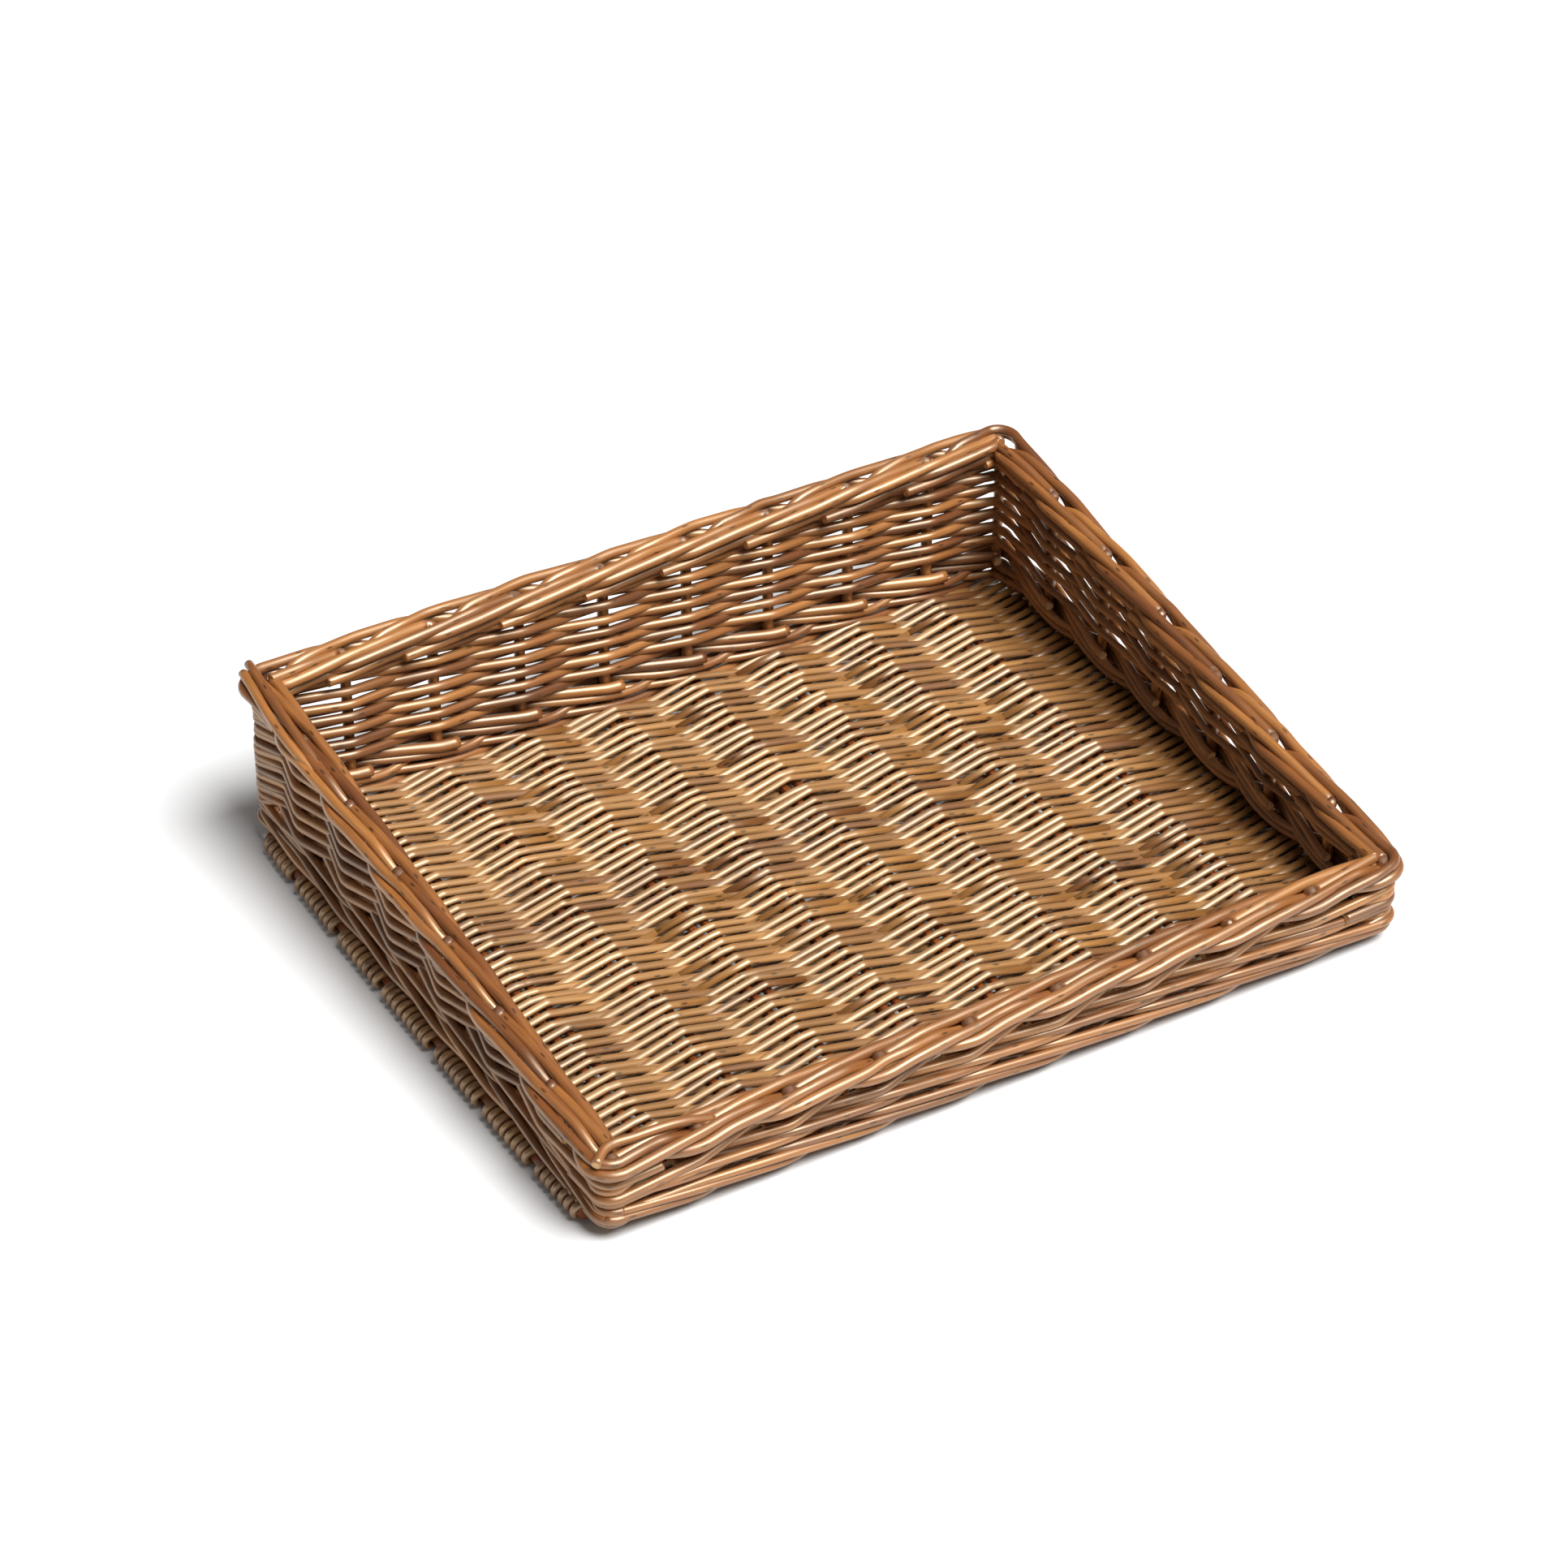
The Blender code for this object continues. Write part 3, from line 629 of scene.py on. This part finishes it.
def wale_path(table, turn):
    """One rod of a round, all the way round the basket and a little past its start."""
    knots, places = [], []
    for number in range(-1, COUNT + 2):
        phase = (number + turn) % len(table[0])
        out, high = table[is_side(number)][phase]
        corner = number % COUNT in corner_stations
        if corner and number != BACK_RIGHT:
            out, high = max(out, OUTSIDE_CORNER), high + (2.5 if out < 0 else 1.0)
        for ahead, more, lift in (BEHIND_A_STAKE if phase == 0 and not corner else (AT_A_STAKE,)):
            knots.append(station_distance(number) + (ahead + chance.normal(0, 1.5)) * MM)
            places.append((out + more, high + lift + chance.normal(0, 0.35)))
    places = np.array(places) * MM
    stops = ring_places(0, RIM_LENGTH + WALE_OVERLAP, WALE_STEP)
    x, y = on_plan(stops, bent_through(knots, places[:, 0], stops, WALE_BEND_OUT))
    return np.stack([x, y, bent_through(knots, places[:, 1], stops, WALE_BEND_UP)], axis=1)


# %% Work the two rounds of the wale
wale = new_bundle()
for table in (LOWER_ROUND, UPPER_ROUND):
    for turn in range(len(table[0])):
        path = wale_path(table, turn)
        tint = 0.3 + 0.6 * turn / len(table[0])
        add_rod(wale, path, WALE_ROD * (1 + uneven(len(path), 0.06, 12)), tint, sides=12)
make_piece("wale_rods", wale, (wall_willow, cut_end), "wall_rods",
           "wale_front", "wale_back", "wale_left", "wale_right")

# %% [markdown]
# ## The walls
#
# The walls are randed. A rod starts behind each stake and is woven in front of one stake and
# behind the next. The rods are worked in turn, so each lies on the one before and climbs by
# one thickness from stake to stake. All rods therefore slant the same way, and past each stake
# they leave small gaps shaped like a lens. Where the rim rises, new rods start under the
# border with a visible butt. Where it falls, rods run out under it. The right wall is worked
# with thinner rods, and less evenly.

# %% Levels of the walls
FIRST_LEVEL = 26.6 * MM
LEVEL_STEP = 4.55 * MM
ABOVE_FIRST = 0.9 * MM  # the first level is pressed down on the wale
INSIDE_LIFT = 3.6 * MM
UNDER_BORDER = 14.4 * MM
MOST_LEVELS = 20


def goes_inside(number, level):
    return level % 2 == 0 and (number == BACK_RIGHT or number % COUNT not in corner_stations)


def level_height(number, level):
    lift = INSIDE_LIFT if goes_inside(number, level) and level > 0 else 0
    return FIRST_LEVEL + LEVEL_STEP * level + lift + (ABOVE_FIRST if level > 0 else 0)


def has_level(number, level):
    _, y = on_plan(station_distance(number), 0.0)
    return level >= 0 and level_height(number, level) <= rim_height(y) - UNDER_BORDER


def find_wall_rods():
    """Each rod of the walls as its first station, its first level and how many stakes it passes."""
    found = []
    for start in range(COUNT):
        for level in range(MOST_LEVELS):
            if not has_level(start, level) or has_level(start - 1, level - 1):
                continue
            passes = 1
            while has_level(start + passes, level + passes):
                passes += 1
            found.append((start, level, passes))
    return found


wall_rods = find_wall_rods()
print(len(wall_rods), "rods in the walls")

# %% Path of a wall rod
STAND_OFF = 6.0 * MM
RIGHT_STAND_OFF = 0.87 * STAND_OFF
LOOSE, RIGHT_LOOSE = 0.4 * MM, 0.9 * MM
# On the left wall a rod comes out long before its stake, and the lowest ones first of all.
EARLY, LOWEST_EARLY = 24 * MM, 34 * MM
EARLY_OUT, EARLY_UP = 0.6 * MM, 2.6 * MM
# How far a rod reaches past its first or last stake, in millimetres. An end that lies inside
# rests against that stake, and the others end half way to the next one, between the rods.
BUTT_INSIDE, TIP_INSIDE, END_BETWEEN = (7, 11), (8, 14), (24, 30)
BUTT_FURTHER_IN, TIP_FURTHER_IN = 1.5 * MM, 1 * MM
BUTT_DROP, TIP_RISE = 2 * MM, 3 * MM
WALL_STEP, WALL_BEND_OUT, WALL_BEND_UP = 3.1 * MM, 2.6 * MM, 3 * MM


def wall_rod_path(start, level, passes):
    """The path of a wall rod, and how far round the rim each of its rings is."""
    knots, out, high = [], [], []
    on_right = stations[start][0].startswith("stake_right")
    loose = RIGHT_LOOSE if on_right else LOOSE
    off = RIGHT_STAND_OFF if on_right else STAND_OFF
    for step in range(-1, passes + 1):
        number, inside = start + step, goes_inside(start + step, level + step)
        place = station_distance(number)
        height = level_height(number, level + step) + chance.normal(0, loose)
        on_left = stations[number % COUNT][0].startswith("stake_left")
        if on_left and not inside and 0 <= step < passes:
            knots.append(place - (LOWEST_EARLY if level + step == 1 else EARLY))
            out.append(EARLY_OUT)
            high.append(height + EARLY_UP)
        knots.append(place)
        out.append(-off if inside else off)
        high.append(height)

    high[0] = high[1] - BUTT_DROP
    if goes_inside(start, level):
        first = station_distance(start) - chance.uniform(*BUTT_INSIDE) * MM
        out[0] = -STAND_OFF - BUTT_FURTHER_IN
    else:
        first = station_distance(start) - chance.uniform(*END_BETWEEN) * MM
    last_stake = station_distance(start + passes - 1)
    if goes_inside(start + passes - 1, level + passes - 1):
        last = last_stake + chance.uniform(*TIP_INSIDE) * MM
        out[-1] = -STAND_OFF - TIP_FURTHER_IN
    else:
        last = last_stake + chance.uniform(*END_BETWEEN) * MM
        high[-1] = min(high[-1], high[-2] + TIP_RISE)
    stops = ring_places(first, last, WALL_STEP)
    x, y = on_plan(stops, bent_through(knots, out, stops, WALL_BEND_OUT))
    return np.stack([x, y, bent_through(knots, high, stops, WALL_BEND_UP)], axis=1), stops


# %% Weave the walls
WALL_ROD = 2.86 * MM
WALL_NAMES = ("front", "right", "back", "left")
WALL_THICKNESS = (1.0, 0.78, 1.0, 1.0)  # shares of a wall rod, by wall
THICKNESS_CHANGES = np.array([-15, 15]) * MM  # before and past each corner
BUTT_EXTRA, BUTT_LENGTH = 0.6 * MM, 40 * MM

by_wall = {wall: new_bundle() for wall in WALL_NAMES}
for start, level, passes in wall_rods:
    path, stops = wall_rod_path(start, level, passes)
    knots = (corner_distances[:, None] + THICKNESS_CHANGES).ravel()
    thickness = np.interp(stops % RIM_LENGTH, knots[1:-1], np.repeat(WALL_THICKNESS, 2))
    thickness = thickness * WALL_ROD * chance.uniform(0.92, 1.05)
    butt = BUTT_EXTRA * np.exp(-(stops - stops[0]) / BUTT_LENGTH)
    radius = (thickness + butt) * (1 + uneven(len(path), 0.05))
    wall = WALL_NAMES[sum(start >= corner for corner in corner_stations) - 1]
    add_rod(by_wall[wall], path, radius, rod_tint())
for wall, bundle in by_wall.items():
    make_piece(f"wall_rods_{wall}", bundle, (wall_willow, cut_end), "wall_rods", f"weave_{wall}")

# %% [markdown]
# ## The uprights and the border
#
# Each stake stands in the wall, kinks sharply at the rim and is worked into the border. Five
# rods lie side by side there, as a flat band. A stake runs inside two stakes, crosses under
# the others to the outside, passes two stakes there, and is tucked back in under the bend of
# the fifth. Its tip then shows inside, under the border, with its cut end. The table says how
# far out and how high a stake lies when it has passed so many stakes.

# %% Path of a stake
STAKE = 3.2 * MM
RIM_DROP = 2.6 * MM
KINK_RADIUS = 3.8 * MM
KINK_OUT, KINK_DROP = 1.2 * MM, 3.2 * MM
UPRIGHT_RINGS, KINK_RINGS = 22, 5
FOOT_AT_SIDE, FOOT_AT_FRONT = 6 * MM, -2 * MM  # above the middle of the sticks
# Stakes passed, then millimetres outside the stake line and above the rim rod: at the back,
# at the front and left, and at the right, as the rods lie closer or wider there.
BORDER_PATH = np.array([
    (0.06, 1.4, -3.2, 0.6, -3.4, 0.8, -3.2), (0.5, -3.0, -1.3, -1.8, -1.2, -2.4, -1.2),
    (1.0, -6.8, -1.2, -5.0, -0.8, -5.6, -1.0), (1.5, -8.2, -3.5, -7.2, -2.6, -7.6, -3.0),
    (2.0, -8.0, -6.7, -8.0, -6.2, -8.0, -6.4), (2.45, 0.5, -9.6, 0.5, -9.6, -0.5, -9.6),
    (2.8, 9.6, -7.6, 9.6, -7.6, 7.2, -8.2), (3.0, 11.4, -5.6, 11.6, -5.8, 9.0, -6.4),
    (3.3, 10.2, -2.9, 10.8, -3.2, 8.6, -3.6), (3.8, 8.9, -1.2, 9.4, -1.2, 7.4, -1.4),
    (4.0, 7.6, -0.6, 8.0, -0.6, 6.6, -0.6), (4.3, 4.4, -0.2, 5.6, -0.2, 4.2, -0.2),
    (4.55, 2.9, -1.2, 4.0, -0.4, 3.2, -0.6), (4.66, 1.5, -3.5, 3.6, -0.8, 2.6, -1.8),
    (4.86, -2.8, -9.6, 1.5, -4.5, -0.5, -7.0), (5.1, -3.8, -10.8, -3.8, -10.8, -3.8, -10.8),
    (5.5, -4.5, -11.5, -4.5, -11.5, -4.5, -11.5), (6.0, -7.0, -13.2, -7.0, -13.2, -7.0, -13.2),
    (6.6, -7.2, -14.4, -7.2, -14.4, -7.2, -14.4)])
BORDER_COLUMNS = np.array([3, 5, 1, 3])  # where each wall's two numbers start in a row
TIP = (6.25, 6.4)  # stakes passed when the stake ends
BORDER_STEP, BORDER_BEND = 3.2 * MM, 3 * MM


def station_at(first, passed):
    """Distance round the rim after a rod has passed some stakes, whole or in part."""
    numbers = np.arange(first, first + 8)
    return np.interp(passed, np.arange(8), [station_distance(n) for n in numbers])


def upright_part(number):
    """From its foot to the rim, a little uneven, and then the sharp kink over it."""
    distance = stations[number][1]
    centre_x, centre_y = on_plan(distance, 0.0)
    top = rim_height(centre_y) - RIM_DROP
    foot = STICK_LEVEL + (FOOT_AT_SIDE if is_side(number) else FOOT_AT_FRONT)
    heights = np.linspace(foot, top - KINK_RADIUS - 0.6 * MM, UPRIGHT_RINGS)
    sway_x, sway_y = (uneven(UPRIGHT_RINGS, 0.3 * MM) for _ in range(2))
    post = np.stack([centre_x + sway_x, centre_y + sway_y, heights], axis=1)
    turn = np.radians(np.linspace(15, 75, KINK_RINGS))
    x, y = on_plan(distance + KINK_RADIUS * (1 - np.cos(turn)), KINK_OUT * np.sin(turn))
    z = top - KINK_RADIUS * (1 - np.sin(turn)) - KINK_DROP * np.sin(turn)
    return np.concatenate([post, np.stack([x, y, z], axis=1)])


def border_part(number):
    """Along the border, to the cut tip inside the wall."""
    knots = station_at(number, BORDER_PATH[:, 0])
    wall = np.searchsorted(corner_distances, knots % RIM_LENGTH, side="right") - 1
    column, rows = BORDER_COLUMNS[wall], np.arange(len(knots))
    table = np.stack([BORDER_PATH[rows, column], BORDER_PATH[rows, column + 1]], axis=1)
    table[1:] += chance.normal(0, 0.3, (len(table) - 1, 2))
    stops = ring_places(knots[0], station_at(number, chance.uniform(*TIP)), BORDER_STEP)
    x, y = on_plan(stops, bent_through(knots, table[:, 0] * MM, stops, BORDER_BEND))
    _, line_y = on_plan(stops, 0.0)
    height = bent_through(knots, table[:, 1] * MM, stops, BORDER_BEND)
    return np.stack([x, y, rim_height(line_y) - RIM_DROP + height], axis=1)


print("the path of a stake has", len(BORDER_PATH), "places in the border")

# %% [markdown]
# ## Filling rods at the corners
#
# At two corners the maker fills the border with short rods, which shows as extra tips. The left
# rim's last rods end in slanted tips over the back corner, and one starts the front from its
# corner. They lie free on top, so they do take a smooth, springy curve.

# %% Rods that fill the corners
CORNER_ROD = 2.7 * MM
# Points in millimetres, by the upright that the rod belongs to.
CORNER_RODS = {
    "corner_post_front_left": [
        ((-253, -203, 55), (-244, -196, 57), (-225, -195, 56.5), (-197, -196, 55), (-180, -197, 50.5))],
    "corner_post_back_left": [
        ((-245, 209, 111.5), (-246.5, 196, 112.4), (-248.3, 170, 110), (-248.6, 140, 105.2),
         (-246, 112, 96)),
        ((-251, 204, 110.5), (-252.6, 190, 110.6), (-254.2, 168, 107.4), (-254, 138, 102.4),
         (-249, 112, 94))],
}


def smooth_through(knots, values, at):
    """A smooth curve through rows of given values, as a springy rod takes its bends."""
    slope = np.gradient(values, knots, axis=0)
    span = np.clip(np.searchsorted(knots, at, side="right") - 1, 0, len(knots) - 2)
    gap = (knots[span + 1] - knots[span])[:, None]
    t = (np.asarray(at) - knots[span])[:, None] / gap
    return ((2 * t**3 - 3 * t**2 + 1) * values[span] + (t**3 - 2 * t**2 + t) * gap * slope[span]
            + (3 * t**2 - 2 * t**3) * values[span + 1] + (t**3 - t**2) * gap * slope[span + 1])


def corner_rod_path(points):
    line = np.array(points) * MM
    run = np.concatenate([[0], np.cumsum(np.linalg.norm(np.diff(line, axis=0), axis=1))])
    return smooth_through(run, line, np.linspace(0, run[-1], 26))


# %% Bend the stakes into the border
TAPER = 0.14  # share of its thickness that a stake loses towards its tip
CREASED = (0.5, 0.8, 0.8, 0.8, 0.8, 0.5)  # added to the tint at the kink, which makes it dull

for number, (name, distance) in enumerate(stations):
    path = np.concatenate([upright_part(number), border_part(number)])
    steps = np.linalg.norm(np.diff(path, axis=0), axis=1)
    along = np.concatenate([[0], np.cumsum(steps)]) / steps.sum()
    radius = STAKE * chance.uniform(0.95, 1.03) * (1.03 - TAPER * along)
    radius = radius * (1 + uneven(len(path), 0.05, 5))
    tint = np.full(len(path), rod_tint() * 0.9)
    tint[UPRIGHT_RINGS:UPRIGHT_RINGS + len(CREASED)] += CREASED
    out = rim_outs[np.searchsorted(rim_distances, distance % RIM_LENGTH) % len(rim_outs)]
    stake = new_bundle()
    add_rod(stake, path, radius, tint, hint=(out[0], out[1], 0), sides=12)
    for points in CORNER_RODS.get(name, ()):
        add_rod(stake, corner_rod_path(points), CORNER_ROD, rod_tint(), sides=12)
    make_piece("border_" + name, stake, (wall_willow, cut_end), "wall_rods", name)

# %% [markdown]
# ## The sticks
#
# The straight sticks have the right shape in the CAD part, so they stay and only get a dark
# brown willow. They show only in the deep gaps under the rows, so the brown is willow and its
# darkness is painted shade of those gaps. They have no UV map, so their fibres read Object
# coordinates, stretched along Y, the way in which the sticks run.

# %% Finish the sticks
STICK_FIBRE_WIDTH, STICK_FIBRE_LENGTH = 1.11 * MM, 40 * MM


def stick_willow():
    material, tree, shader = new_material("dark willow sticks", Roughness=0.4)
    place = add_node(tree, "ShaderNodeTexCoord").outputs["Object"]
    fine, long = 1 / STICK_FIBRE_WIDTH, 1 / STICK_FIBRE_LENGTH
    stretched = add_node(tree, "ShaderNodeMapping", {}, {"Vector": place, "Scale": (fine, long, fine)})
    fibres = add_node(tree, "ShaderNodeTexNoise", {},
                      {"Vector": stretched.outputs["Vector"], "Scale": 1.0, "Detail": 3.0})
    colours = add_node(tree, "ShaderNodeValToRGB", {}, {"Fac": fibres.outputs["Fac"]})
    # Dark browns: a willow brown, made darker as painted shade of the gaps where the sticks show.
    set_ramp(colours, [(0.3, linear("#8a4a20")), (0.7, linear("#5c2b10"))])
    tree.links.new(colours.outputs["Color"], shader.inputs["Base Color"])
    return material


sticks = stick_willow()
stick_nodes = [n for name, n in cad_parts.items() if name.startswith(("base_stick", "edge_stick"))]
for node in stick_nodes:
    node.data.materials.clear()
    node.data.materials.append(sticks)
print(len(stick_nodes), "sticks in", sticks.name)

# %% [markdown]
# ## Floor, light and camera
#
# The basket stands on a plain white floor. One soft light comes from above, a little in front
# and to the right, so the runs of a rod that rise to the right shine and the falling ones stay
# matt. The world is white where the camera sees it, and much weaker as a light, so it only
# lifts the shadows. The camera looks down at 37 degrees from the front left, through a long
# lens, which keeps the basket's edges nearly parallel.

# %% Floor
bpy.ops.object.select_all(action="DESELECT")
bpy.ops.mesh.primitive_plane_add(size=12)
floor = bpy.context.object
floor.name = "floor"
paper, _, _ = new_material("white paper", Base_Color=(0.72, 0.72, 0.72, 1), Roughness=0.9,
                           Specular_IOR_Level=0.1)
floor.data.materials.append(paper)
print("floor", [round(size, 1) for size in floor.dimensions])

# %% Light
LIGHT_FROM = Vector((0.20, -0.42, 0.88)).normalized()
LIGHT_STRENGTH, LIGHT_WIDTH = 5.5, 34  # the width in degrees, for soft shadows
WORLD_ON_SHADOWS, WORLD_IN_SHINE = 0.2, 0.07

lamp = bpy.data.lights.new("soft light", "SUN")
lamp.energy = LIGHT_STRENGTH
lamp.angle = math.radians(LIGHT_WIDTH)
soft_light = bpy.data.objects.new("soft light", lamp)
soft_light.rotation_euler = LIGHT_FROM.to_track_quat("Z", "Y").to_euler()
bpy.context.scene.collection.objects.link(soft_light)

world = bpy.data.worlds.new("white room")
bpy.context.scene.world = world
world.use_nodes = True
sky = world.node_tree
background = sky.nodes["Background"]
background.inputs["Color"].default_value = (1, 1, 1, 1)
rays = add_node(sky, "ShaderNodeLightPath")
seen = add_node(sky, "ShaderNodeMath", {"operation": "MAXIMUM"},
                {0: rays.outputs["Is Camera Ray"], 1: rays.outputs["Is Transmission Ray"]})
unseen = add_node(sky, "ShaderNodeMapRange", {}, {
    "Value": rays.outputs["Is Glossy Ray"], "To Min": WORLD_ON_SHADOWS, "To Max": WORLD_IN_SHINE})
strength = add_node(sky, "ShaderNodeMath", {"operation": "MAXIMUM"},
                    {0: seen.outputs[0], 1: unseen.outputs[0]})
sky.links.new(strength.outputs[0], background.inputs["Strength"])
print("light from", [round(part, 2) for part in LIGHT_FROM])

# %% Camera
AZIMUTH, ELEVATION = math.radians(-30.58), math.radians(36.75)
STANDS_AT = (-1.150, -1.908, 1.733)
SENSOR = 36  # millimetres
PHOTO_WIDTH, FOCAL_LENGTH = 1932, 6198  # both in pixels of the photograph

lens = bpy.data.cameras.new("camera")
lens.lens = FOCAL_LENGTH / PHOTO_WIDTH * SENSOR
lens.sensor_width = SENSOR
lens.clip_end = 50
camera = bpy.data.objects.new("camera", lens)
back = Vector((math.sin(AZIMUTH) * math.cos(ELEVATION), -math.cos(AZIMUTH) * math.cos(ELEVATION),
               math.sin(ELEVATION)))
right = Vector((math.cos(AZIMUTH), math.sin(AZIMUTH), 0))
turned = Matrix((right, back.cross(right), back)).transposed().to_4x4()
camera.matrix_world = Matrix.Translation(STANDS_AT) @ turned
bpy.context.scene.collection.objects.link(camera)
bpy.context.scene.camera = camera
bpy.context.scene.view_settings.view_transform = "Standard"
print("lens of", round(lens.lens, 1), "mm")
